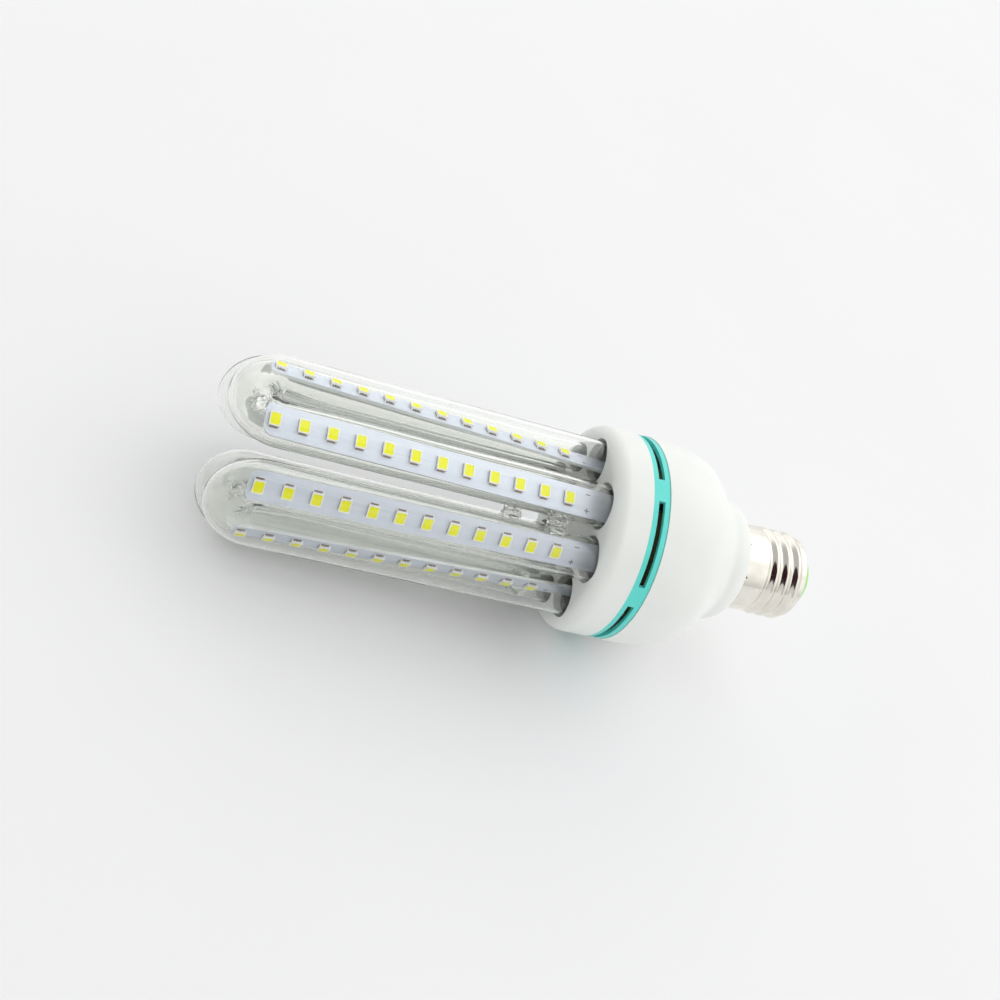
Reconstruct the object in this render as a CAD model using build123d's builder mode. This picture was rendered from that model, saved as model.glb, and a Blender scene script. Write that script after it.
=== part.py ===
# LED lamp with four clear U-shaped tubes, lying on its side.
# Lamp coordinates: z runs along the lamp's axis towards the tube bends, zero at
# the bend-side edge of the vent ring; x points to the front tube, y to the top tube.
from build123d import *
import math
import os

os.makedirs("parts", exist_ok=True)

# ---------------------------------------------------------------- dimensions, mm
body_r = 30.0            # holder and housing radius
wall = 2.0               # moulded wall
ring_w = 5.15            # visible width of the vent ring
ring_r = 29.75           # vent ring, a little under flush
ring_in = 28.55
slot_w = 1.9             # vent slot width
slot_deg = 47.0          # vent slot length
slot_first = 46.5        # angle of the first slot's middle
cover_h = 10.8           # holder, ring edge to front face
cover_fillet = 4.2
plate_t = 2.3            # holder front plate
hole_r = 6.6             # holes for the tube legs
tube_r = 5.9             # glass tube
glass_t = 0.7
leg_circle = 20.5        # legs' circle radius
leg_half = 23.8          # half the angle between the two legs of one U
tube_low = 3.0           # open end of the tubes
tube_end = 113.4         # outer end of the bends
bridge_z = 22.0          # fused necks between the tubes
bridge_waist = 2.7
bridge_flare = 4.3
strip_w = 8.2
strip_t = 0.8
strip_low = -2.0
strip_high = 104.0
strip_corner_out = 2.6  # bend-end corner on the outer side of the U
strip_corner_in = 1.3
strip_tilt = 2.04        # strips lean outwards towards the bend, degrees
strip_h = 2.57           # strip face outside the leg's axis at its high end
led_n = 12
led_pitch = 7.365
led_first = 101.65       # middle of the LED nearest the bend
led_l, led_w, led_h = 2.9, 3.6, 1.0
win_l, win_w, win_d = 2.4, 3.0, 0.3
dome_c = -10.0           # the straight side ends and the dome starts
dome_pts = [(29.43, -17.0), (27.58, -23.0), (22.64, -28.5)]
crease_z, crease_r = -33.2, 17.85
crease_fillet = 3.0
neck_mid = (17.65, -36.7)
neck_z, neck_r = -40.15, 14.9
neck_lip = 0.7
spigot_r = 12.5          # carries the cap
spigot_z = -47.2
cap_z0 = -40.15          # open edge of the cap shell
band_z = -48.0
band_r = 12.9
root_r = 12.25           # thread
crest_r = 13.15
thread_pitch = 3.62
thread_turns = 2.85
thread_end = -60.2
shell_end = -62.4
shell_end_r = 9.6
shell_t = 0.35
contact_z = -66.6
contact_r = 5.0
board_z = -16.0          # underside of the driver board
board_t = 1.6
board_r = 23.0
tilt = 3.03              # the lamp leans this much towards its bends when it lies
axis_h = 30.27            # axis above the floor at the lamp's zero
shift_x = 23.758         # puts the middle of the length at X = 0

# ---------------------------------------------------------------- frames
tb = math.radians(tilt)
lamp = Plane(
    origin=(shift_x, 0, axis_h / math.cos(tb)),
    x_dir=(0, -1, 0),
    z_dir=(-math.cos(tb), 0, -math.sin(tb)),
)
lamp_axis = Axis(lamp.origin, lamp.z_dir)
# radius to the right, lamp axis upwards
section = Plane(origin=lamp.origin, x_dir=lamp.x_dir, z_dir=-lamp.y_dir)


def polar(angle, r=0.0, z=0.0, lean=0.0):
    """Plane at an angle round the axis: x outwards, y round, z along the axis."""
    return Plane(
        lamp.location
        * Location((0, 0, 0), (0, 0, angle))
        * Location((r, 0, z), (0, lean, 0))
    )


def across(p):
    """Plane looking outwards: x round the lamp, y along the axis, z outwards."""
    return Plane(origin=p.origin, x_dir=p.y_dir, z_dir=p.x_dir)


def local(x, y, z):
    return Plane(lamp.location * Location((x, y, z)))


def save(piece, name):
    piece.part.label = name
    export_step(piece.part, "parts/" + name + ".step")


leg_h = leg_circle * math.cos(math.radians(leg_half))
leg_s = leg_circle * math.sin(math.radians(leg_half))
bend_z = tube_end - tube_r - leg_s
u_angles = {"front": 0.0, "top": 90.0, "back": 180.0, "bottom": 270.0}
leg_angles = [a + s * leg_half for a in u_angles.values() for s in (-1, 1)]

# ---------------------------------------------------------------- tube holder
with BuildPart() as tube_holder:
    with BuildSketch(section):
        with BuildLine():
            Polyline(
                (0, cover_h), (body_r - cover_fillet, cover_h)
            )
            RadiusArc((body_r - cover_fillet, cover_h), (body_r, cover_h - cover_fillet), cover_fillet)
            Polyline(
                (body_r, cover_h - cover_fillet), (body_r, 0), (body_r - wall, 0),
                (body_r - wall, cover_h - plate_t), (0, cover_h - plate_t), (0, cover_h),
            )
        make_face()
    revolve(axis=lamp_axis)
    for a in leg_angles:
        with BuildSketch(polar(a, leg_circle, cover_h + 1)):
            Circle(hole_r)
        extrude(amount=-(plate_t + 8), mode=Mode.SUBTRACT)
    # six snap legs behind the ring's webs, each with a hook at its end
    for k in range(6):
        a = slot_first + 30 + 60 * k
        p = polar(a)
        with BuildSketch(Plane(origin=p.origin, x_dir=p.x_dir, z_dir=-p.y_dir)):
            with BuildLine():
                Polyline(
                    (28.4, 4.0), (28.4, 0.0), (27.65, 0.0), (27.65, -7.6), (28.45, -8.3),
                    (28.45, -9.0), (27.2, -11.0), (26.3, -11.0), (26.3, 4.0), (28.4, 4.0),
                )
            make_face()
        extrude(amount=2.1, both=True)
save(tube_holder, "tube_holder")

# ---------------------------------------------------------------- vent ring
with BuildPart() as vent_ring:
    with BuildSketch(section):
        with BuildLine():
            Polyline(
                (ring_in, 0), (ring_r - 0.25, 0), (ring_r, -0.25), (ring_r, -ring_w + 0.25),
                (ring_r - 0.25, -ring_w), (ring_in, -ring_w), (ring_in, 0),
            )
        make_face()
    revolve(axis=lamp_axis)
    # six long slots through the wall, with square ends
    for k in range(6):
        p = polar(slot_first + 60 * k - slot_deg / 2)
        with BuildSketch(Plane(origin=p.origin, x_dir=p.x_dir, z_dir=-p.y_dir)):
            with Locations(((ring_in + ring_r) / 2, -ring_w / 2)):
                Rectangle(4, slot_w)
        revolve(axis=lamp_axis, revolution_arc=slot_deg, mode=Mode.SUBTRACT)
save(vent_ring, "vent_ring")

# ---------------------------------------------------------------- lower housing
with BuildPart() as lower_housing:
    with BuildSketch(section) as shell:
        with BuildLine():
            Line((0, -ring_w), (body_r, -ring_w))
            Line((body_r, -ring_w), (body_r, dome_c))
            Spline((body_r, dome_c), *dome_pts, (crease_r, crease_z), tangents=((0, -1), (-0.72, -0.69)))
            ThreePointArc((crease_r, crease_z), neck_mid, (neck_r, neck_z))
            Polyline(
                (neck_r, neck_z), (spigot_r, neck_z), (spigot_r, spigot_z), (0, spigot_z), (0, -ring_w)
            )
        make_face()
        fillet(shell.vertices().sort_by_distance((crease_r, crease_z, 0))[0], crease_fillet)
        fillet(shell.vertices().sort_by_distance((neck_r, neck_z, 0))[0], neck_lip)
    revolve(axis=lamp_axis)
    # hollow inside
    in_r = body_r - wall
    with BuildSketch(section):
        with BuildLine():
            Polyline((0, -ring_w), (in_r, -ring_w), (in_r, dome_c))
            Spline(
                (in_r, dome_c), (27.4, -16.8), (25.55, -22.4), (20.75, -27.7), (15.9, -32.5),
                tangents=((0, -1), (-0.72, -0.69)),
            )
            Polyline(
                (15.9, -32.5), (15.6, -36.0), (spigot_r - 1.6, -38.8),
                (spigot_r - 1.6, spigot_z), (0, spigot_z), (0, -ring_w),
            )
        make_face()
    revolve(axis=lamp_axis, mode=Mode.SUBTRACT)
    # groove for the holder's hooks
    with BuildSketch(section):
        with BuildLine():
            Polyline((in_r - 1, -7.5), (28.0, -7.5), (28.7, -8.1), (28.7, -9.4), (28.0, -10.2), (in_r - 1, -10.2), (in_r - 1, -7.5))
        make_face()
    revolve(axis=lamp_axis, mode=Mode.SUBTRACT)
    # four posts with hooks that hold the board
    for k in range(4):
        p = polar(22.5 + 90 * k)
        with BuildSketch(Plane(origin=p.origin, x_dir=p.x_dir, z_dir=-p.y_dir)):
            with BuildLine():
                Polyline(
                    (20.8, -27.9), (20.8, board_z), (board_r + 0.15, board_z),
                    (board_r + 0.15, board_z + board_t), (board_r - 0.7, board_z + board_t),
                    (board_r + 0.2, board_z + board_t + 1.6), (24.6, board_z + board_t + 1.6),
                    (24.6, -25.4), (20.8, -27.9),
                )
            make_face()
        extrude(amount=2.0, both=True)
save(lower_housing, "lower_housing")

# ---------------------------------------------------------------- screw cap
with BuildPart() as cap_shell:
    with BuildSketch(section):
        with BuildLine():
            Polyline(
                (band_r - 0.25, cap_z0), (band_r, cap_z0 - 0.25), (band_r, band_z + 0.3),
                (root_r, band_z - 0.5), (root_r, thread_end), (root_r - 0.5, thread_end - 1.0),
            )
            ThreePointArc(
                (root_r - 0.5, thread_end - 1.0), (11.0, -61.95), (shell_end_r, shell_end)
            )
            Polyline(
                (shell_end_r, shell_end), (shell_end_r, shell_end + 0.45), (11.2, thread_end),
                (root_r - shell_t, thread_end + 1.0), (root_r - shell_t, band_z - 0.6),
                (spigot_r, band_z), (spigot_r, cap_z0), (band_r - 0.25, cap_z0),
            )
        make_face()
    revolve(axis=lamp_axis)
    # rolled thread: a round rib along a right-hand helix
    foot = local(0, 0, thread_end + 0.6).origin
    with BuildLine() as rib:
        Helix(
            pitch=thread_pitch, height=thread_pitch * thread_turns, radius=root_r,
            center=foot, direction=lamp.z_dir,
        )
    start = rib.line @ 0
    go = rib.line % 0
    out = (start - foot).normalized()
    with BuildSketch(Plane(origin=start, x_dir=out, z_dir=go)):
        with BuildLine():
            Polyline((-0.12, 1.76), (-0.12, -1.76), (0.0, -1.76))
            Spline(
                (0.0, -1.76), (0.16, -1.3), (0.54, -0.78), (crest_r - root_r, 0),
                (0.54, 0.78), (0.16, 1.3), (0.0, 1.76),
            )
            Line((0.0, 1.76), (-0.12, 1.76))
        make_face()
    sweep(path=rib.line, is_frenet=True)
    # punch marks that stake the shell to the neck
    for k in range(8):
        with Locations(polar(34 + 45 * k, band_r + 0.28, cap_z0 - 1.2)):
            Sphere(0.55, mode=Mode.SUBTRACT)
save(cap_shell, "cap_shell")

with BuildPart() as cap_insulator:
    with BuildSketch(section):
        with BuildLine():
            Polyline(
                (2.2, shell_end + 3.0), (shell_end_r - 0.3, shell_end + 3.0),
                (shell_end_r - 0.3, shell_end + 0.45), (shell_end_r, shell_end + 0.45),
                (shell_end_r, shell_end),
            )
            ThreePointArc((shell_end_r, shell_end), (8.2, -64.6), (contact_r + 0.4, contact_z + 0.9))
            Polyline(
                (contact_r + 0.4, contact_z + 0.9), (2.2, contact_z + 0.9), (2.2, shell_end + 3.0)
            )
        make_face()
    revolve(axis=lamp_axis)
save(cap_insulator, "cap_insulator")

with BuildPart() as cap_contact:
    with BuildSketch(section):
        with BuildLine():
            Polyline((0, contact_z), (contact_r - 0.9, contact_z))
            RadiusArc((contact_r - 0.9, contact_z), (contact_r, contact_z + 0.9), -0.9)
            Polyline(
                (contact_r, contact_z + 0.9), (2.2, contact_z + 0.9), (2.2, shell_end + 3.4),
                (0, shell_end + 3.4), (0, contact_z),
            )
        make_face()
    revolve(axis=lamp_axis)
save(cap_contact, "cap_contact")

# ---------------------------------------------------------------- glass tubes
for name, a in u_angles.items():
    with BuildPart() as u_tube:
        face_plane = across(polar(a, leg_h))
        with BuildLine(face_plane) as bend:
            Line((leg_s, tube_low), (leg_s, bend_z))
            ThreePointArc((leg_s, bend_z), (0, bend_z + leg_s), (-leg_s, bend_z))
            Line((-leg_s, bend_z), (-leg_s, tube_low))
        p = polar(a, leg_h, tube_low)
        with BuildSketch(Plane(origin=bend.line @ 0, x_dir=p.x_dir, z_dir=p.z_dir)):
            Circle(tube_r)
            Circle(tube_r - glass_t, mode=Mode.SUBTRACT)
        sweep(path=bend.line)
    save(u_tube, "u_tube_" + name)

# fused necks between neighbouring tubes
gap_deg = 45.0 - leg_half
with BuildPart() as glass_bridges:
    for a in (45.0, -45.0, -135.0):
        p = polar(a, leg_circle * math.cos(math.radians(gap_deg)), bridge_z)
        with BuildSketch(Plane(origin=p.origin, x_dir=p.z_dir, z_dir=-p.x_dir)):
            with BuildLine():
                Spline(
                    (bridge_flare, -3.6), (3.1, -1.6), (bridge_waist, 0), (3.1, 1.6), (bridge_flare, 3.6)
                )
                Polyline((bridge_flare, 3.6), (0, 3.6), (0, -3.6), (bridge_flare, -3.6))
            make_face()
        revolve(axis=Axis(p.origin, p.y_dir))
    for a in leg_angles:
        with BuildSketch(polar(a, leg_circle, bridge_z - 12)):
            Circle(tube_r)
        extrude(amount=24, mode=Mode.SUBTRACT)
save(glass_bridges, "glass_bridges")

# silicone that holds each leg behind the holder's plate
with BuildPart() as tube_adhesive:
    for a in leg_angles:
        with BuildSketch(polar(a, leg_circle, cover_h - plate_t - 3.2)):
            Circle(7.2)
            Circle(tube_r, mode=Mode.SUBTRACT)
        extrude(amount=3.2)
save(tube_adhesive, "tube_adhesive")

# ---------------------------------------------------------------- light strips
strip_face0 = strip_h - strip_high * math.tan(math.radians(strip_tilt))
strip_planes = [across(polar(a, leg_circle + strip_face0, 0, strip_tilt)) for a in leg_angles]

for i, sp in enumerate(strip_planes):
    n = str(i + 1)
    with BuildPart() as led_strip:
        with BuildSketch(sp):
            # left and right corner radii: the outer side of the U has the larger one
            rl, rr = (strip_corner_out, strip_corner_in) if i % 2 == 0 else (strip_corner_in, strip_corner_out)
            hw = strip_w / 2
            with BuildLine():
                Polyline((-hw, strip_high - rl), (-hw, strip_low), (hw, strip_low), (hw, strip_high - rr))
                CenterArc((hw - rr, strip_high - rr), rr, 0, 90)
                Line((hw - rr, strip_high), (-hw + rl, strip_high))
                CenterArc((-hw + rl, strip_high - rl), rl, 90, 90)
            make_face()
        extrude(amount=-strip_t)
    save(led_strip, "led_strip_" + n)

    spots = [(0, led_first - led_pitch * k) for k in range(led_n)]
    with BuildPart() as led_bodies:
        with BuildSketch(sp):
            with Locations(*spots):
                Rectangle(led_w, led_l)
        extrude(amount=led_h)
        with BuildSketch(sp.offset(led_h - win_d)):
            with Locations(*spots):
                RectangleRounded(win_w, win_l, 0.3)
        extrude(amount=win_d + 0.1, mode=Mode.SUBTRACT)
    save(led_bodies, "led_bodies_" + n)

    with BuildPart() as led_windows:
        with BuildSketch(sp.offset(led_h - win_d)):
            with Locations(*spots):
                RectangleRounded(win_w, win_l, 0.3)
        extrude(amount=win_d - 0.05)
    save(led_windows, "led_windows_" + n)

# ---------------------------------------------------------------- driver
top_z = board_z + board_t
pin_r = 0.3
pins = {
    "film": [(-9.0, -9.5), (-1.5, -9.5)],
    "can": [(7.2, -6.0), (10.8, -6.0)],
    "coil": [(3.5, 9.5), (10.5, 9.5)],
    "fuse": [(-14.0, 2.0), (-5.0, 2.0)],
}
wire_holes = [(-12.5, 9.0), (-7.0, 9.0)]

with BuildPart() as driver_board:
    with BuildSketch(local(0, 0, board_z)):
        Circle(board_r)
        with Locations(*[p for group in pins.values() for p in group]):
            Circle(pin_r + 0.15, mode=Mode.SUBTRACT)
        with Locations(*wire_holes):
            Circle(0.45, mode=Mode.SUBTRACT)
    extrude(amount=board_t)
save(driver_board, "driver_board")

with BuildPart() as film_capacitor:
    with BuildSketch(local(-5.25, -9.5, board_z)):
        RectangleRounded(11.5, 5.0, 0.8)
    extrude(amount=-9.0)
    fillet(faces().sort_by(lamp_axis)[0].edges(), 0.7)
    for x, y in pins["film"]:
        with BuildSketch(local(x, y, board_z)):
            Circle(pin_r)
        extrude(amount=board_t + 0.8)
save(film_capacitor, "film_capacitor")

with BuildPart() as electrolytic_capacitor:
    can = local(9.0, -6.0, board_z)
    with BuildSketch(Plane(origin=can.origin, x_dir=lamp.x_dir, z_dir=-lamp.y_dir)):
        with BuildLine():
            Polyline(
                (0, 0), (4.6, 0), (5.0, -0.4), (5.0, -1.9), (4.6, -2.4), (5.0, -2.9),
                (5.0, -14.5), (4.5, -15.0), (0, -15.0), (0, 0),
            )
        make_face()
    revolve(axis=Axis(can.origin, lamp.z_dir))
    for x, y in pins["can"]:
        with BuildSketch(local(x, y, board_z)):
            Circle(pin_r)
        extrude(amount=board_t + 0.8)
save(electrolytic_capacitor, "electrolytic_capacitor")

coil_at = local(7.0, 9.5, board_z)
coil_section = Plane(origin=coil_at.origin, x_dir=lamp.x_dir, z_dir=-lamp.y_dir)
with BuildPart() as inductor_core:
    with BuildSketch(coil_section):
        with BuildLine():
            Polyline(
                (0, 0), (5.0, 0), (5.0, -1.4), (2.2, -1.4), (2.2, -8.0), (5.0, -8.0), (5.0, -9.4),
                (0, -9.4), (0, 0),
            )
        make_face()
    revolve(axis=Axis(coil_at.origin, lamp.z_dir))
    for x, y in pins["coil"]:
        with BuildSketch(local(x, y, board_z)):
            Circle(pin_r)
        extrude(amount=board_t + 0.8)
save(inductor_core, "inductor_core")

with BuildPart() as inductor_winding:
    with BuildSketch(coil_section):
        with BuildLine():
            Polyline((2.2, -1.4), (4.4, -1.4), (4.4, -8.0), (2.2, -8.0), (2.2, -1.4))
        make_face()
    revolve(axis=Axis(coil_at.origin, lamp.z_dir))
save(inductor_winding, "inductor_winding")

with BuildPart() as fuse_resistor:
    fx0, fx1 = pins["fuse"][0][0], pins["fuse"][1][0]
    fuse_mid = local((fx0 + fx1) / 2, 2.0, board_z - 2.2)
    with BuildSketch(Plane(origin=fuse_mid.origin, x_dir=lamp.y_dir, z_dir=lamp.x_dir)):
        Circle(1.5)
    extrude(amount=3.0, both=True)
    fillet(edges().filter_by(GeomType.CIRCLE), 0.5)
    with BuildLine(Plane(origin=lamp.location.position + lamp.y_dir * 2.0, x_dir=lamp.x_dir, z_dir=-lamp.y_dir)) as lead:
        FilletPolyline(
            (fx0, top_z + 0.8), (fx0, board_z - 2.2), (fx1, board_z - 2.2), (fx1, top_z + 0.8), radius=1.0
        )
    with BuildSketch(Plane(origin=lead.line @ 0, z_dir=lead.line % 0)):
        Circle(pin_r)
    sweep(path=lead.line)
save(fuse_resistor, "fuse_resistor")

# parts soldered to the board's upper face
with BuildPart() as bridge_rectifier:
    with BuildSketch(local(-5.0, 13.5, top_z + 0.2)):
        Rectangle(4.7, 3.9)
    extrude(amount=2.3, taper=5)
    with BuildSketch(local(-5.0, 13.5, top_z)):
        with GridLocations(2.5, 4.8, 2, 2):
            Rectangle(0.65, 2.0)
    extrude(amount=0.35)
save(bridge_rectifier, "bridge_rectifier")

with BuildPart() as driver_chip:
    with BuildSketch(local(4.0, -4.0, top_z + 0.2)):
        Rectangle(4.9, 3.9)
    extrude(amount=1.4, taper=5)
    with BuildSketch(local(4.0, -4.0, top_z)):
        with GridLocations(1.27, 5.0, 4, 2):
            Rectangle(0.42, 1.3)
    extrude(amount=0.35)
save(driver_chip, "driver_chip")

with BuildPart() as sense_resistors:
    with BuildSketch(local(4.0, -10.0, top_z)):
        with GridLocations(3.2, 0, 3, 1):
            Rectangle(2.0, 1.25)
    extrude(amount=0.55)
save(sense_resistors, "sense_resistors")

# ---------------------------------------------------------------- wires
wire_r = 0.55
link_r = 0.38


def on_strip(i, t, l):
    """Point in the middle of a strip's thickness."""
    return strip_planes[i].from_local_coords((t, l, -strip_t / 2))


def spot(x, y, z):
    return lamp.from_local_coords((x, y, z))


with BuildPart() as live_wire:
    with BuildLine() as route:
        FilletPolyline(
            spot(-12.5, 9.0, board_z), spot(-12.5, 9.0, -22.0), spot(-6.5, 5.5, -34.0),
            spot(0, 0, -45.0), spot(0, 0, shell_end + 3.4), radius=[3.5, 9.0, 9.0],
        )
    with BuildSketch(Plane(origin=route.line @ 0, z_dir=route.line % 0)):
        Circle(wire_r)
    sweep(path=route.line)
save(live_wire, "live_wire")

with BuildPart() as neutral_wire:
    with BuildLine() as route:
        FilletPolyline(
            spot(-7.0, 9.0, board_z), spot(-7.0, 9.0, -25.0), spot(-3.0, 8.6, -38.0),
            spot(0.0, 9.6, -47.0), spot(0.0, 11.3, -51.5), radius=[8.0, 8.0, 6.0],
        )
    with BuildSketch(Plane(origin=route.line @ 0, z_dir=route.line % 0)):
        Circle(wire_r)
    sweep(path=route.line)
save(neutral_wire, "neutral_wire")

with BuildPart() as strip_jumpers:
    for i in range(7):
        with BuildLine() as route:
            FilletPolyline(
                on_strip(i, 2.6, strip_low), on_strip(i, 2.6, strip_low - 3.6),
                on_strip(i + 1, -2.6, strip_low - 3.6), on_strip(i + 1, -2.6, strip_low), radius=1.3,
            )
        with BuildSketch(Plane(origin=route.line @ 0, z_dir=route.line % 0)):
            Circle(link_r)
        sweep(path=route.line)
save(strip_jumpers, "strip_jumpers")

with BuildPart() as led_plus_wire:
    with BuildLine() as route:
        FilletPolyline(
            on_strip(0, -2.6, strip_low), on_strip(0, -2.6, strip_low - 4.0),
            spot(15.0, -8.0, -10.0), spot(15.0, -8.0, top_z), radius=[1.6, 1.6],
        )
    with BuildSketch(Plane(origin=route.line @ 0, z_dir=route.line % 0)):
        Circle(link_r)
    sweep(path=route.line)
save(led_plus_wire, "led_plus_wire")

with BuildPart() as led_minus_wire:
    with BuildLine() as route:
        FilletPolyline(
            on_strip(7, 2.6, strip_low), on_strip(7, 2.6, strip_low - 4.0),
            spot(9.5, -13.0, -10.0), spot(9.5, -13.0, top_z), radius=[1.6, 1.6],
        )
    with BuildSketch(Plane(origin=route.line @ 0, z_dir=route.line % 0)):
        Circle(link_r)
    sweep(path=route.line)
save(led_minus_wire, "led_minus_wire")
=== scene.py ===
import math

import bpy
from mathutils import Matrix, Vector, noise


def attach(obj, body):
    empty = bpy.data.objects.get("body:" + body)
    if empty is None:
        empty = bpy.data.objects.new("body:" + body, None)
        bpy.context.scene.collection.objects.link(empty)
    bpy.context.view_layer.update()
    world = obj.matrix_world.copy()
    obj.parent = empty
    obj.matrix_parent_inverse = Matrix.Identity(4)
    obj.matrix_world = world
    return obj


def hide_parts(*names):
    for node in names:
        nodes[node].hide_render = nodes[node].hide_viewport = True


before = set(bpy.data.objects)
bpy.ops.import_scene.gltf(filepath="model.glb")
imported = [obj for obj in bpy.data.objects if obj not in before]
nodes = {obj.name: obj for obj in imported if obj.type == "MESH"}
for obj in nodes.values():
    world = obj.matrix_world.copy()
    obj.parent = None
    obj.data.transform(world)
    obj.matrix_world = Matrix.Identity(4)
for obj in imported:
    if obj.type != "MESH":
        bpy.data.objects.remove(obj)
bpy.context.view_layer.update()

scene = bpy.context.scene
MM = 0.001

# ------------------------------------------------------------ the lamp's own frame
TILT = math.radians(3.03)
LAMP = Matrix((
    (0, -math.sin(TILT), -math.cos(TILT), 0.023758),
    (-1, 0, 0, 0),
    (0, math.cos(TILT), -math.sin(TILT), 0.03027 / math.cos(TILT)),
    (0, 0, 0, 1),
))
CYCLE = Matrix(((0, 0, 1, 0), (1, 0, 0, 0), (0, 1, 0, 0), (0, 0, 0, 1)))


def polar(angle, r=0.0, z=0.0, lean=0.0):
    """x outwards, y round the lamp, z along its axis; millimetres in."""
    return (
        LAMP
        @ Matrix.Rotation(math.radians(angle), 4, "Z")
        @ Matrix.Translation((r * MM, 0, z * MM))
        @ Matrix.Rotation(math.radians(lean), 4, "Y")
    )


def across(p):
    """x round the lamp, y along its axis, z outwards."""
    return p @ CYCLE


LEG_CIRCLE, LEG_HALF = 20.5, 23.8
LEG_H = LEG_CIRCLE * math.cos(math.radians(LEG_HALF))
LEG_S = LEG_CIRCLE * math.sin(math.radians(LEG_HALF))
TUBE_R, GLASS_T, TUBE_LOW, TUBE_END = 5.9, 0.7, 3.0, 113.4
BEND_Z = TUBE_END - TUBE_R - LEG_S
U_ANGLES = {"front": 0.0, "top": 90.0, "back": 180.0, "bottom": 270.0}
LEG_ANGLES = [a + s * LEG_HALF for a in U_ANGLES.values() for s in (-1, 1)]
STRIP_TILT = 2.04
STRIP_FACE0 = 2.57 - 104.0 * math.tan(math.radians(STRIP_TILT))
STRIPS = [across(polar(a, LEG_CIRCLE + STRIP_FACE0, 0, STRIP_TILT)) for a in LEG_ANGLES]
LED_N, LED_PITCH, LED_FIRST = 12, 7.365, 101.65


# ------------------------------------------------------------ material helpers
class Mat:
    """A node material with one Principled shader and a coordinate system in millimetres."""

    def __init__(self, name, base, rough=0.4, at=None, **sockets):
        self.m = bpy.data.materials.new(name)
        self.m.use_nodes = True
        self.t = self.m.node_tree
        self.t.nodes.clear()
        self.out = self.t.nodes.new("ShaderNodeOutputMaterial")
        self.p = self.t.nodes.new("ShaderNodeBsdfPrincipled")
        self.t.links.new(self.p.outputs[0], self.out.inputs["Surface"])
        self.set("Base Color", (*base, 1))
        self.set("Roughness", rough)
        for k, v in sockets.items():
            self.set(k.replace("_", " "), v)
        co = self.t.nodes.new("ShaderNodeTexCoord")
        mp = self.t.nodes.new("ShaderNodeMapping")
        mp.vector_type = "TEXTURE"
        frame_at = at if at is not None else LAMP
        mp.inputs["Location"].default_value = frame_at.to_translation()
        mp.inputs["Rotation"].default_value = frame_at.to_euler("XYZ")
        mp.inputs["Scale"].default_value = (MM, MM, MM)
        self.t.links.new(co.outputs["Object"], mp.inputs["Vector"])
        self.co = mp.outputs["Vector"]

    def set(self, name, value):
        self.p.inputs[name].default_value = value

    def link(self, a, b):
        self.t.links.new(a, b)

    def node(self, kind, **props):
        n = self.t.nodes.new(kind)
        for k, v in props.items():
            setattr(n, k, v)
        return n

    def put(self, socket, v):
        if hasattr(v, "is_output"):
            self.link(v, socket)
        else:
            socket.default_value = v

    def scaled(self, sx, sy, sz, src=None):
        n = self.node("ShaderNodeVectorMath", operation="MULTIPLY")
        self.link(src or self.co, n.inputs[0])
        n.inputs[1].default_value = (sx, sy, sz)
        return n.outputs[0]

    def noise(self, scale, detail=3.0, rough=0.55, src=None, distortion=0.0):
        n = self.node("ShaderNodeTexNoise")
        self.link(src or self.co, n.inputs["Vector"])
        n.inputs["Scale"].default_value = scale
        n.inputs["Detail"].default_value = detail
        n.inputs["Roughness"].default_value = rough
        n.inputs["Distortion"].default_value = distortion
        return n.outputs["Fac"]

    def voronoi(self, scale, src=None, feature="F1"):
        n = self.node("ShaderNodeTexVoronoi", feature=feature)
        self.link(src or self.co, n.inputs["Vector"])
        n.inputs["Scale"].default_value = scale
        return n.outputs["Distance"]

    def math(self, op, a, b=None, c=None, clamp=False):
        n = self.node("ShaderNodeMath", operation=op, use_clamp=clamp)
        for i, v in enumerate((a, b, c)):
            if v is not None:
                self.put(n.inputs[i], v)
        return n.outputs[0]

    def range(self, v, a, b, c, d, smooth=False):
        n = self.node("ShaderNodeMapRange")
        if smooth:
            n.interpolation_type = "SMOOTHSTEP"
        self.link(v, n.inputs["Value"])
        for k, x in zip(("From Min", "From Max", "To Min", "To Max"), (a, b, c, d)):
            n.inputs[k].default_value = x
        return n.outputs["Result"]

    def mix(self, fac, a, b, blend="MIX"):
        n = self.node("ShaderNodeMix", data_type="RGBA", blend_type=blend)
        self.put(n.inputs["Factor"], fac)
        self.put(n.inputs[6], (*a, 1) if isinstance(a, tuple) else a)
        self.put(n.inputs[7], (*b, 1) if isinstance(b, tuple) else b)
        return n.outputs[2]

    def xyz(self, src=None):
        n = self.node("ShaderNodeSeparateXYZ")
        self.link(src or self.co, n.inputs[0])
        return n.outputs

    def colour(self, socket):
        self.link(socket, self.p.inputs["Base Color"])

    def rough(self, socket):
        self.link(socket, self.p.inputs["Roughness"])

    def bump(self, height, strength=0.2, distance=0.1):
        n = self.node("ShaderNodeBump")
        n.inputs["Strength"].default_value = strength
        n.inputs["Distance"].default_value = distance * MM
        self.link(height, n.inputs["Height"])
        self.link(n.outputs[0], self.p.inputs["Normal"])
        return n

    def paint(self, obj):
        obj.data.materials.clear()
        obj.data.materials.append(self.m)


def srgb(r, g, b):
    def f(c):
        c /= 255
        return c / 12.92 if c <= 0.04045 else ((c + 0.055) / 1.055) ** 2.4
    return f(r), f(g), f(b)


def paint(mat, *names):
    for n in names:
        mat.paint(nodes[n])


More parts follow.
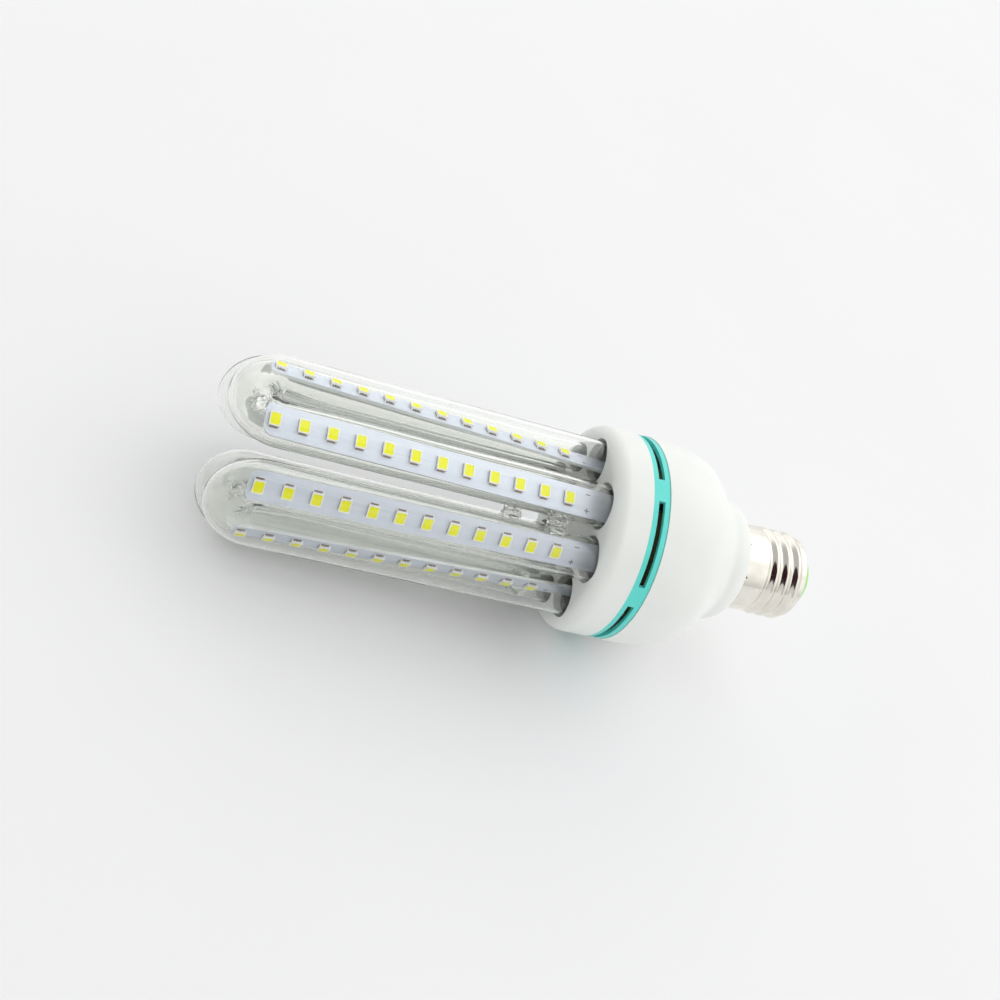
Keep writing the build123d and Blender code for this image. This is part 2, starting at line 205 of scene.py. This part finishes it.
# ------------------------------------------------------------ plastics
def moulded(name, light, dark, rough, grain=0.06, at=None, **kw):
    m = Mat(name, light, rough, at=at, **kw)
    cloud = m.noise(0.045, 2.0)
    fine = m.noise(1.7, 2.0, 0.6)
    m.colour(m.mix(m.range(cloud, 0.35, 0.65, 0.0, 1.0), light, dark))
    m.rough(m.range(fine, 0.3, 0.7, rough - 0.04, rough + 0.05))
    m.bump(m.noise(3.1, 2.0, 0.6), strength=0.25, distance=grain)
    return m


white = moulded("housing_plastic", srgb(243, 245, 241), srgb(238, 241, 236), 0.36, 0.03)
white.set("Subsurface Weight", 0.06)
white.set("Subsurface Radius", (1.0, 0.9, 0.8))
white.set("Subsurface Scale", 0.0015)
paint(white, "tube_holder", "lower_housing")

ring = moulded("ring_plastic", srgb(106, 232, 223), srgb(90, 222, 211), 0.34, 0.03)
paint(ring, "vent_ring")

# ------------------------------------------------------------ glass
def glass_material(name, at, wave, streak):
    m = Mat(name, (0.995, 1.0, 0.985), 0.0, at=at, IOR=1.5, Transmission_Weight=1.0)
    drawn = m.noise(1.0, 1.0, 0.4, src=m.scaled(0.4, 0.006, 0.4))
    soft = m.noise(0.12, 1.0, 0.4)
    h = m.math("ADD", m.math("MULTIPLY", drawn, streak), m.math("MULTIPLY", soft, wave))
    m.bump(h, strength=0.06, distance=0.06)
    clear = m.node("ShaderNodeBsdfTransparent")
    clear.inputs["Color"].default_value = (0.995, 1.0, 0.995, 1)
    path = m.node("ShaderNodeLightPath")
    both = m.node("ShaderNodeMixShader")
    m.link(path.outputs["Is Shadow Ray"], both.inputs[0])
    m.link(m.p.outputs[0], both.inputs[1])
    m.link(clear.outputs[0], both.inputs[2])
    m.link(both.outputs[0], m.out.inputs["Surface"])
    body = m.node("ShaderNodeVolumeAbsorption")
    body.inputs["Color"].default_value = (0.60, 0.78, 0.48, 1)
    body.inputs["Density"].default_value = 8.0
    m.link(body.outputs[0], m.out.inputs["Volume"])
    return m


def smooth_mesh(name, verts, faces, mats, body="root"):
    me = bpy.data.meshes.new(name)
    me.from_pydata(verts, [], faces)
    me.validate()
    me.update()
    me.polygons.foreach_set("use_smooth", [True] * len(me.polygons))
    o = bpy.data.objects.new(name, me)
    scene.collection.objects.link(o)
    for m in mats:
        me.materials.append(m.m)
    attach(o, body)
    return o


def step01(x, a, b):
    x = min(1.0, max(0.0, (x - a) / (b - a)))
    return x * x * (3 - 2 * x)


def glass_u(name, angle, seed, fold):
    """One U of drawn tubing. The wall is thick and creased on the inner side of the bend."""
    F = across(polar(angle, LEG_H))
    path = []  # (centre, outward normal in the U's plane, bend share)
    legs = [TUBE_LOW + (BEND_Z - TUBE_LOW) * k / 22 for k in range(22)]
    for s in legs:
        path.append(((LEG_S, s), (1.0, 0.0)))
    n_arc = 84
    for k in range(n_arc + 1):
        q = math.pi * k / n_arc
        path.append((
            (LEG_S * math.cos(q), BEND_Z + LEG_S * math.sin(q)),
            (math.cos(q), math.sin(q)),
        ))
    for s in reversed(legs):
        path.append(((-LEG_S, s), (-1.0, 0.0)))
    N = 88
    off = Vector((seed * 13.7, seed * 5.1, seed * 2.3))

    def radii(c, s, psi, leg_sign):
        inner = max(0.0, -math.cos(psi))
        bend = step01(s, BEND_Z - 13.0, BEND_Z + 6.5)
        here = Vector((c[0], s, 3 * math.sin(psi)))
        lump = noise.noise(here * 0.16 + off) + 0.25 * noise.noise(here * 0.34 + off)
        pool = bend * inner**1.6 * (0.82 + 0.36 * lump)
        swirl = bend * inner**1.5 * noise.noise(here * 0.75 - off)
        draw = 0.018 * noise.noise(Vector((2.2 * math.cos(psi), 2.2 * math.sin(psi), 0.004 * s + leg_sign)) + off)
        slow = 0.05 * noise.noise(Vector((0.05 * s, math.cos(psi), math.sin(psi))) + off)
        r_in = TUBE_R - GLASS_T + draw + slow - max(0.0, fold * pool) - 0.16 * swirl + 0.16 * bend * max(0.0, math.cos(psi))
        r_out = TUBE_R + bend * inner**2 * 0.2 * lump + 0.1 * swirl - 0.02
        return min(r_out, TUBE_R + 0.25), max(2.6, min(r_in, r_out - 0.35))

    rows_o, rows_i, verts, faces = [], [], [], []
    for c, nrm in path:
        ro, ri = [], []
        for k in range(N):
            psi = 2 * math.pi * k / N
            a, b = radii(c, c[1], psi, 1 if c[0] > 0 else -1)
            for r, row in ((a, ro), (b, ri)):
                p = Vector((
                    c[0] + r * math.cos(psi) * nrm[0],
                    c[1] + r * math.cos(psi) * nrm[1],
                    r * math.sin(psi),
                ))
                row.append(len(verts))
                verts.append(F @ (p * MM))
        rows_o.append(ro)
        rows_i.append(ri)
    for rows, flip in ((rows_o, False), (rows_i, True)):
        for u, v in zip(rows, rows[1:]):
            for k in range(N):
                f = (u[k], u[(k + 1) % N], v[(k + 1) % N], v[k])
                faces.append(tuple(reversed(f)) if not flip else f)
    for u, v, flip in ((rows_o[0], rows_i[0], False), (rows_o[-1], rows_i[-1], True)):
        for k in range(N):
            f = (u[k], v[k], v[(k + 1) % N], u[(k + 1) % N])
            faces.append(f if flip else tuple(reversed(f)))
    m = glass_material("tube_glass_" + name, F, 0.6, 1.0)
    o = smooth_mesh("glass_u_" + name, verts, faces, [m])
    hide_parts("u_tube_" + name)
    return o


FOLD = {"front": 0.12, "top": 0.40, "back": 0.30, "bottom": 0.30}
for i, (name, a) in enumerate(U_ANGLES.items()):
    glass_u(name, a, i + 6, FOLD[name])



def glass_necks():
    """The fused necks between neighbouring tubes: lumpy outside, with a trapped bubble."""
    gap = math.radians(45.0 - LEG_HALF)
    mid, reach = LEG_CIRCLE * math.cos(gap), LEG_CIRCLE * math.sin(gap)
    N, rows, rings = 56, 30, 9
    verts, faces = [], []

    def wall(v):
        return reach - math.sqrt(max(0.0, (TUBE_R + 0.03) ** 2 - v * v))

    for j, a in enumerate((45.0, -45.0, -135.0)):
        F = polar(a, mid, 22.0)
        off = Vector((7.3 * j + 1.1, 3.9 * j, 2.7 * j))

        def put(r, t, q):
            verts.append(F @ (Vector((r * math.sin(q), t, r * math.cos(q))) * MM))
            return len(verts) - 1

        def profile(t, q):
            r = 2.7 + 1.6 * min(1.0, abs(t) / 3.6) ** 1.6
            here = Vector((r * math.sin(q), t, r * math.cos(q)))
            lump = noise.noise(here * 0.55 + off) + 0.4 * noise.noise(here * 1.2 + off)
            return min(r + 0.42 * lump, 4.2)

        ends = []
        for k in range(N):
            q = 2 * math.pi * k / N
            hi = 1.6
            for _ in range(30):
                hi = 0.5 * hi + 0.5 * wall(profile(hi, q) * math.sin(q))
            lo = -1.6
            for _ in range(30):
                lo = 0.5 * lo - 0.5 * wall(profile(lo, q) * math.sin(q))
            ends.append((lo, hi))
        skin = []
        for i in range(rows + 1):
            row = []
            for k in range(N):
                q = 2 * math.pi * k / N
                lo, hi = ends[k]
                t = lo + (hi - lo) * i / rows
                row.append(put(profile(t, q), t, q))
            skin.append(row)
        for u, v in zip(skin, skin[1:]):
            for k in range(N):
                faces.append((u[k], u[(k + 1) % N], v[(k + 1) % N], v[k]))
        for side, edge in ((-1, skin[0]), (1, skin[-1])):
            last = edge
            for i in range(1, rings):
                row = []
                for k in range(N):
                    q = 2 * math.pi * k / N
                    r = profile(ends[k][(side + 1) // 2], q) * (1 - i / rings)
                    row.append(put(r, side * wall(r * math.sin(q)), q))
                for k in range(N):
                    f = (last[k], last[(k + 1) % N], row[(k + 1) % N], row[k])
                    faces.append(f if side > 0 else tuple(reversed(f)))
                last = row
            tip = put(0.0, side * wall(0.0), 0.0)
            for k in range(N):
                f = (last[k], last[(k + 1) % N], tip)
                faces.append(f if side > 0 else tuple(reversed(f)))
        # bubble
        rows_b = []
        for i in range(1, 14):
            w = math.pi * i / 14
            row = []
            for k in range(N):
                q = 2 * math.pi * k / N
                d = Vector((math.sin(w) * math.sin(q), -math.cos(w), math.sin(w) * math.cos(q)))
                r = 1 + 0.3 * noise.noise(d * 1.4 + off)
                row.append(put(1.5 * r * math.sin(w), -1.05 * r * math.cos(w), q))
            rows_b.append(row)
        for u, v in zip(rows_b, rows_b[1:]):
            for k in range(N):
                faces.append((u[k], v[k], v[(k + 1) % N], u[(k + 1) % N]))
        for row, t, flip in ((rows_b[0], -1.05, False), (rows_b[-1], 1.05, True)):
            tip = put(0.0, t, 0.0)
            for k in range(N):
                f = (row[k], row[(k + 1) % N], tip)
                faces.append(tuple(reversed(f)) if flip else f)
    m = glass_material("neck_glass", LAMP, 3.0, 1.0)
    o = smooth_mesh("glass_necks", verts, faces, [m])
    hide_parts("glass_bridges")


glass_necks()

# ------------------------------------------------------------ light strips
def strip_material(i):
    m = Mat(f"strip_board_{i + 1}", srgb(214, 221, 234), 0.42, at=STRIPS[i], Specular_IOR_Level=0.3)
    lines = m.noise(1.0, 3.0, 0.6, src=m.scaled(5.5, 0.06, 1.0))
    cloud = m.noise(0.18, 2.0)
    tone = m.mix(m.range(lines, 0.3, 0.7, 0, 1), srgb(221, 227, 239), srgb(207, 214, 228))
    tone = m.mix(m.range(cloud, 0.35, 0.65, 0.0, 0.35), tone, srgb(215, 222, 235))
    front = m.range(m.xyz()[2], -0.12, -0.06, 0.0, 1.0)
    metal = m.mix(m.range(lines, 0.3, 0.7, 0, 1), srgb(228, 230, 230), srgb(210, 213, 214))
    # polarity marks at the foot, between the last LED and the holder
    x, y = m.xyz()[0], m.xyz()[1]

    def bar(cx, cy, hx, hy):
        dx = m.math("ABSOLUTE", m.math("SUBTRACT", x, cx))
        dy = m.math("ABSOLUTE", m.math("SUBTRACT", y, cy))
        return m.math("MULTIPLY", m.math("LESS_THAN", dx, hx), m.math("LESS_THAN", dy, hy))

    ink = m.math("MAXIMUM", bar(-2.3, 15.0, 0.75, 0.16), bar(-2.3, 15.0, 0.16, 0.75))
    ink = m.math("MULTIPLY", m.math("MAXIMUM", ink, bar(2.3, 15.0, 0.16, 0.75)), 0.85)
    m.colour(m.mix(front, metal, m.mix(ink, tone, srgb(74, 76, 88))))
    m.link(m.range(front, 0.0, 1.0, 0.8, 0.38), m.p.inputs["Metallic"])
    m.rough(m.range(lines, 0.3, 0.7, 0.34, 0.46))
    m.bump(lines, strength=0.2, distance=0.03)
    return m


package = moulded("led_package", srgb(246, 246, 243), srgb(238, 239, 236), 0.42, 0.01)


def phosphor(i):
    m = Mat(f"led_phosphor_{i + 1}", srgb(238, 236, 30), 0.5, at=STRIPS[i], Specular_IOR_Level=0.1)
    grain = m.noise(4.0, 3.0, 0.65)
    broad = m.noise(0.5, 1.0)
    t = m.mix(m.range(grain, 0.3, 0.7, 0, 1), srgb(250, 250, 4), srgb(240, 240, 0))
    m.colour(m.mix(m.range(broad, 0.4, 0.6, 0, 0.35), t, srgb(248, 250, 24)))
    m.bump(grain, strength=0.3, distance=0.02)
    return m


tin = Mat("led_terminal_tin", srgb(196, 194, 190), 0.3, Metallic=1.0)
tin.rough(tin.range(tin.noise(6.0, 3.0), 0.3, 0.7, 0.22, 0.45))
tin.colour(tin.mix(tin.noise(3.0, 2.0), srgb(205, 203, 198), srgb(160, 156, 150)))
# one dark brown metal for the brown solder and for the painted shade in the recess under each package's lip
gap = Mat("led_solder_and_painted_recess_shade", srgb(120, 102, 92), 0.3, Metallic=1.0)
gap.colour(gap.mix(gap.noise(3.0, 2.0), srgb(112, 94, 82), srgb(156, 138, 122)))
gap.rough(gap.range(gap.noise(5.0, 2.0), 0.3, 0.7, 0.24, 0.42))
# painted shade: dark grey-purple colour for the strip at the foot of each package's short sides
painted_shade_skirt = Mat("led_foot_painted_shade", srgb(128, 120, 124), 0.5)
painted_shade_skirt.colour(painted_shade_skirt.mix(painted_shade_skirt.noise(3.0, 2.0), srgb(116, 108, 112), srgb(146, 138, 138)))


def box_faces(verts, faces, ids, M, x0, x1, y0, y1, z0, z1, mat, slope=None):
    """A block in a strip's frame. slope pulls the outer top edge down, for solder."""
    base = len(verts)
    for x in (x0, x1):
        for y in (y0, y1):
            for z in (z0, z1):
                zz = z
                if slope is not None and z == z1 and x == slope:
                    zz = z0 + 0.06
                verts.append(M @ (Vector((x, y, zz)) * MM))
    for f in ((0, 1, 3, 2), (4, 6, 7, 5), (0, 4, 5, 1), (2, 3, 7, 6), (0, 2, 6, 4), (1, 5, 7, 3)):
        faces.append(tuple(base + k for k in f))
        ids.append(mat)


def terminals(i):
    """Tinned leads and their solder on the two long sides of each package, with painted shade: dark slabs in the
    recess under the package's lip and along the foot of the short sides.
    """
    verts, faces, ids = [], [], []
    M = STRIPS[i]
    for k in range(LED_N):
        y = LED_FIRST - LED_PITCH * k
        for s in (-1, 1):
            w = s * 1.8
            # painted shade: dark slabs in the recess under the package's lip
            a, b = sorted((w, w + s * 0.02))
            for y0, y1, z1 in ((-0.56, -0.1, 0.44), (0.04, 0.52, 0.5), (0.68, 1.12, 0.4)):
                box_faces(verts, faces, ids, M, a, b, y + y0, y + y1, 0.0, z1, 1)
            # tinned lead, and the solder that wets it
            a, b = sorted((w, w + s * 0.07))
            box_faces(verts, faces, ids, M, a, b, y - 0.98, y - 0.62, 0.0, 0.42, 0)
            a, b = sorted((w + s * 0.02, w + s * 0.34))
            box_faces(
                verts, faces, ids, M, a, b, y - 1.0, y + 1.1, 0.0, 0.14, 1, slope=w + s * 0.34,
            )
        # painted shade: a dark strip along the foot of the two short sides
        for s in (-1, 1):
            w = y + s * 1.45
            a, b = sorted((w, w + s * 0.02))
            box_faces(verts, faces, ids, M, -1.72, 1.72, a, b, 0.0, 0.27, 2)
    o = smooth_mesh(f"led_terminals_{i + 1}", verts, faces, [tin, gap, painted_shade_skirt])
    o.data.polygons.foreach_set("material_index", ids)
    o.data.polygons.foreach_set("use_smooth", [False] * len(faces))


for i in range(8):
    paint(strip_material(i), f"led_strip_{i + 1}")
    paint(package, f"led_bodies_{i + 1}")
    paint(phosphor(i), f"led_windows_{i + 1}")
    terminals(i)

# ------------------------------------------------------------ screw cap
CAP_Z0, BAND_Z, BAND_R, ROOT_R, CREST_R = -40.15, -48.0, 12.9, 12.25, 13.15
THREAD_PITCH, THREAD_Z0, THREAD_TURNS, THREAD_END = 3.62, -59.6, 2.85, -60.2
SHELL_END, SHELL_END_R, SHELL_T = -62.4, 9.6, 0.35
STAKE_ANGLE, STAKE_Z = 34.0, CAP_Z0 - 1.2

nickel = Mat("cap_nickel_plate", srgb(244, 240, 230), 0.14, Metallic=1.0)
turned = nickel.noise(1.0, 3.0, 0.6, src=nickel.scaled(0.05, 0.05, 6.0))
smudge = nickel.noise(0.25, 3.0, 0.6)
plate = nickel.mix(nickel.range(smudge, 0.35, 0.65, 0, 1), srgb(238, 235, 226), srgb(229, 225, 215))
here = nickel.xyz()
# painted shade: the plate turns dark brown in the stake dents, by distance from each dent's centre
turn = nickel.math("SUBTRACT", nickel.math("ARCTAN2", here[1], here[0]), math.radians(STAKE_ANGLE))
turn = nickel.math("WRAP", nickel.math("DIVIDE", turn, math.radians(45)), 0.5, -0.5)
side = nickel.math("MULTIPLY", turn, math.radians(45) * BAND_R)
along = nickel.math("SUBTRACT", here[2], STAKE_Z)
far = nickel.math("SQRT", nickel.math("ADD", nickel.math("MULTIPLY", side, side), nickel.math("MULTIPLY", along, along)))
nickel.colour(nickel.mix(nickel.range(far, 0.2, 0.5, 1.0, 0.0), plate, srgb(58, 50, 40)))
nickel.rough(nickel.range(smudge, 0.3, 0.7, 0.11, 0.18))
nickel.bump(turned, strength=0.08, distance=0.02)


def cap_outside(z, phi):
    """Radius of the pressed shell: plain band, rolled thread, round end."""
    if z > THREAD_END:
        base = ROOT_R + (BAND_R - ROOT_R) * step01(z, BAND_Z - 1.1, BAND_Z + 0.4)
        edge = min(1.0, max(0.0, (CAP_Z0 - z) / 0.3))
        base -= 0.25 * (1 - edge) ** 2
    else:
        q = (THREAD_END - z) / (THREAD_END - SHELL_END)
        base = SHELL_END_R + (ROOT_R - SHELL_END_R) * math.sqrt(max(0.0, 1 - q**2.2))
    lead = (phi - math.radians(-90)) % (2 * math.pi) / (2 * math.pi)
    k = round((z - THREAD_Z0) / THREAD_PITCH - lead)
    u = k + lead
    d = (z - THREAD_Z0 - u * THREAD_PITCH) / THREAD_PITCH
    ridge = (0.5 + 0.5 * math.cos(2 * math.pi * d)) ** 0.9
    live = step01(u, -0.30, 0.02) * (1 - step01(u, THREAD_TURNS - 0.05, THREAD_TURNS + 0.3))
    top = ROOT_R + (CREST_R - ROOT_R) * ridge * live
    low = step01(z, SHELL_END + 0.3, SHELL_END + 1.6)
    r = max(base, base + (top - base) * low) if z <= THREAD_END else max(base, top)
    # stake marks
    t = (math.degrees(phi) - STAKE_ANGLE) / 45
    t = (t + 0.5) % 1.0 - 0.5
    far = math.hypot(math.radians(t * 45) * BAND_R, z - STAKE_Z)
    if far < 0.52:
        r -= 0.3 * (1 - (far / 0.52) ** 2) ** 2
    return r


def cap_shell():
    near = (-0.8, -0.58, -0.42, -0.28, -0.14, 0.0, 0.14, 0.28, 0.42, 0.58, 0.8)
    wide = math.radians(45) * BAND_R
    cols = []
    for k in range(8):
        a0 = math.radians(STAKE_ANGLE + 45 * k)
        cols += [a0 + q / BAND_R for q in near]
        cols += [a0 + (0.8 + (wide - 1.6) * q / 13) / BAND_R for q in range(1, 13)]
    rows = [0.0, 0.05, 0.12, 0.2, 0.3, 0.45, 0.62, 0.78, 0.92, 1.06, 1.2, 1.34, 1.48, 1.62, 1.78, 1.95]
    rows += [2.4, 3.1, 4.0, 5.0, 5.9, 6.6, 7.0]
    rows = [CAP_Z0 - q for q in rows]
    z = -47.35
    while z > -60.9:
        rows.append(z)
        z -= 0.145
    rows += [SHELL_END + 1.5 * (1 - math.sin(math.pi / 2 * k / 14)) for k in range(15)]
    verts, faces, outer, inner = [], [], [], []
    for z in rows:
        ro, ri = [], []
        for a in cols:
            r = cap_outside(z, a)
            ro.append(len(verts))
            verts.append(LAMP @ (Vector((r * math.cos(a), r * math.sin(a), z)) * MM))
            q = max(SHELL_END_R, r - SHELL_T) if z < BAND_Z else 12.52
            zi = max(z, SHELL_END + 0.45)
            ri.append(len(verts))
            verts.append(LAMP @ (Vector((q * math.cos(a), q * math.sin(a), zi)) * MM))
        outer.append(ro)
        inner.append(ri)
    n = len(cols)
    for rows_, flip in ((outer, False), (inner, True)):
        for u, v in zip(rows_, rows_[1:]):
            for k in range(n):
                f = (u[k], v[k], v[(k + 1) % n], u[(k + 1) % n])
                faces.append(tuple(reversed(f)) if flip else f)
    for u, v, flip in ((outer[0], inner[0], False), (outer[-1], inner[-1], True)):
        for k in range(n):
            f = (u[k], u[(k + 1) % n], v[(k + 1) % n], v[k])
            faces.append(tuple(reversed(f)) if flip else f)
    o = smooth_mesh("cap_thread_shell", verts, faces, [nickel])
    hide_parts("cap_shell")


cap_shell()

green = moulded("cap_insulator_green", srgb(150, 232, 112), srgb(136, 222, 100), 0.3, 0.02)
green.set("Subsurface Weight", 0.15)
green.set("Subsurface Scale", 0.001)
paint(green, "cap_insulator")

tip = Mat("cap_contact_metal", srgb(214, 208, 196), 0.28, Metallic=1.0)
tip.colour(tip.mix(tip.noise(0.6, 3.0), srgb(220, 214, 200), srgb(190, 182, 168)))
tip.rough(tip.range(tip.noise(2.0, 3.0), 0.3, 0.7, 0.2, 0.4))
paint(tip, "cap_contact")

# ------------------------------------------------------------ inside parts
# the silicone glue is a real part; its mid grey is partly painted shade, standing in for the shade inside the
# tube holes
silicone_and_hole_shade = moulded("tube_silicone_painted_hole_shade", srgb(126, 124, 124), srgb(108, 106, 106), 0.45, 0.05)
silicone_and_hole_shade.set("Subsurface Weight", 0.2)
silicone_and_hole_shade.set("Subsurface Scale", 0.001)
paint(silicone_and_hole_shade, "tube_adhesive")

fibre = Mat("board_fibre", srgb(176, 160, 96), 0.5)
weave = fibre.math("MULTIPLY", fibre.noise(1.0, 2.0, 0.5, src=fibre.scaled(6, 0.3, 1)), fibre.noise(1.0, 2.0, 0.5, src=fibre.scaled(0.3, 6, 1)))
fibre.colour(fibre.mix(fibre.range(weave, 0.15, 0.35, 0, 1), srgb(186, 170, 108), srgb(158, 142, 82)))
fibre.bump(weave, strength=0.2, distance=0.03)
paint(fibre, "driver_board")
paint(moulded("film_case", srgb(150, 52, 34), srgb(132, 42, 28), 0.34, 0.04), "film_capacitor")
sleeve = moulded("can_sleeve", srgb(40, 52, 70), srgb(34, 44, 62), 0.3, 0.02)
paint(sleeve, "electrolytic_capacitor")
paint(moulded("ferrite_core", srgb(58, 56, 56), srgb(44, 43, 43), 0.6, 0.1), "inductor_core")
wound = Mat("copper_wire", srgb(196, 112, 64), 0.3, Metallic=1.0)
turns = wound.noise(1.0, 1.0, 0.5, src=wound.scaled(0.02, 0.02, 4.0))
wound.colour(wound.mix(wound.range(turns, 0.35, 0.65, 0, 1), srgb(206, 124, 70), srgb(150, 78, 40)))
wound.bump(turns, strength=0.6, distance=0.15)
paint(wound, "inductor_winding")
paint(moulded("resistor_body", srgb(132, 170, 176), srgb(118, 156, 162), 0.4, 0.04), "fuse_resistor")
paint(moulded("chip_epoxy", srgb(42, 42, 44), srgb(32, 32, 34), 0.5, 0.05), "bridge_rectifier", "driver_chip", "sense_resistors")
paint(moulded("wire_red", srgb(178, 34, 30), srgb(160, 28, 26), 0.38, 0.02), "live_wire", "led_plus_wire")
paint(moulded("wire_black", srgb(36, 36, 38), srgb(28, 28, 30), 0.38, 0.02), "neutral_wire", "led_minus_wire")
paint(moulded("wire_white", srgb(230, 230, 226), srgb(218, 218, 214), 0.38, 0.02), "strip_jumpers")

# ------------------------------------------------------------ floor, light, camera
def stage_plane(name, size, centre):
    me = bpy.data.meshes.new(name)
    h = size / 2
    me.from_pydata([(-h, -h, 0), (h, -h, 0), (h, h, 0), (-h, h, 0)], [], [(0, 1, 2, 3)])
    o = bpy.data.objects.new(name, me)
    o.location = centre
    scene.collection.objects.link(o)
    return o


floor = stage_plane("floor", 12.0, (0, 0, 0))
paper = Mat("floor_paper", srgb(243, 243, 244), 0.75, at=Matrix.Identity(4))
paper.colour(paper.mix(paper.noise(0.01, 2.0), srgb(244, 244, 245), srgb(241, 241, 242)))
paper.set("Specular IOR Level", 0.2)
# from below the sheet is clear, so the underside can be looked at
below = paper.node("ShaderNodeMixShader")
paper.link(paper.node("ShaderNodeNewGeometry").outputs["Backfacing"], below.inputs[0])
paper.link(paper.p.outputs[0], below.inputs[1])
paper.link(paper.node("ShaderNodeBsdfTransparent").outputs[0], below.inputs[2])
paper.link(below.outputs[0], paper.out.inputs["Surface"])
floor.data.materials.append(paper.m)


def card(name, at, aim, w, h, colour, mirror):
    """A flag that is only seen in reflections, or only shades dull surfaces."""
    o = stage_plane(name, 1.0, at)
    o.scale = (w, h, 1)
    o.rotation_mode = "QUATERNION"
    o.rotation_quaternion = (Vector(aim) - Vector(at)).to_track_quat("Z", "Y")
    m = Mat(name, colour, 0.9, at=Matrix.Identity(4))
    m.set("Specular IOR Level", 0.0)
    o.data.materials.append(m.m)
    o.visible_camera = False
    o.visible_shadow = not mirror
    o.visible_diffuse = not mirror
    o.visible_glossy = mirror
    o.visible_transmission = False
    return o


card("dark_flag", (-0.150, -0.254, 0.280), (0.02, 0.0, 0.03), 0.40, 0.30, (0.026, 0.003, 0.007), True)
card("shade_flag", (-0.45, -0.37, 0.36), (-0.03, 0.0, 0.03), 0.37, 0.37, (0.05, 0.05, 0.05), False)

world = bpy.data.worlds.new("studio")
scene.world = world
world.use_nodes = True
wt = world.node_tree
back = wt.nodes["Background"]
back.inputs["Color"].default_value = (1.0, 1.0, 1.0, 1)
sky = wt.nodes.new("ShaderNodeTexCoord")


def lobe(direction, a, b, c, d, smooth):
    """Brightness over the sky by the angle from a direction."""
    n = wt.nodes.new("ShaderNodeVectorMath")
    n.operation = "DOT_PRODUCT"
    n.inputs[1].default_value = Vector(direction).normalized()
    wt.links.new(sky.outputs["Generated"], n.inputs[0])
    r = wt.nodes.new("ShaderNodeMapRange")
    if smooth:
        r.interpolation_type = "SMOOTHSTEP"
    wt.links.new(n.outputs["Value"], r.inputs["Value"])
    for k, x in zip(("From Min", "From Max", "To Min", "To Max"), (a, b, c, d)):
        r.inputs[k].default_value = x
    return r.outputs[0]


total = lobe((0.35, 0.15, 0.92), -0.1, 0.6, 0.70, 0.95, False)
for direction, a, b, gain in (
    ((0.55, 0.25, 0.78), 0.78, 0.97, 0.80),    # the main light, up and to the right
    ((0.62, -0.50, 0.60), 0.74, 0.98, 0.22),   # its spill towards the front
    ((0.00, 0.96, 0.28), 0.72, 0.97, 0.35),    # bright wall behind
    ((0.15, -0.98, 0.10), 0.78, 0.98, -0.12),  # dim room in front
    ((-0.48, 0.18, 0.86), 0.78, 0.97, -0.36),  # dim ceiling to the left
):
    n = wt.nodes.new("ShaderNodeMath")
    n.operation = "ADD"
    wt.links.new(total, n.inputs[0])
    wt.links.new(lobe(direction, a, b, 0.0, gain, True), n.inputs[1])
    total = n.outputs[0]
wt.links.new(total, back.inputs["Strength"])

cam_data = bpy.data.cameras.new("camera")
cam_data.sensor_fit = "AUTO"
cam_data.sensor_width = 36.0
cam_data.lens = 44.2057
cam_data.clip_start, cam_data.clip_end = 0.01, 20.0
camera = bpy.data.objects.new("camera", cam_data)
camera.matrix_world = Matrix((
    (0.89737542, -0.25954368, -0.35686754, -0.131456),
    (-0.04212294, 0.75465427, -0.65476911, -0.223027),
    (0.4392528, 0.60260601, 0.66627545, 0.258326),
    (0, 0, 0, 1),
))
scene.collection.objects.link(camera)
scene.camera = camera

scene.view_settings.view_transform = "Standard"
scene.view_settings.look = "None"
scene.cycles.max_bounces = 28
scene.cycles.transmission_bounces = 24
scene.cycles.transparent_max_bounces = 40
scene.cycles.glossy_bounces = 6
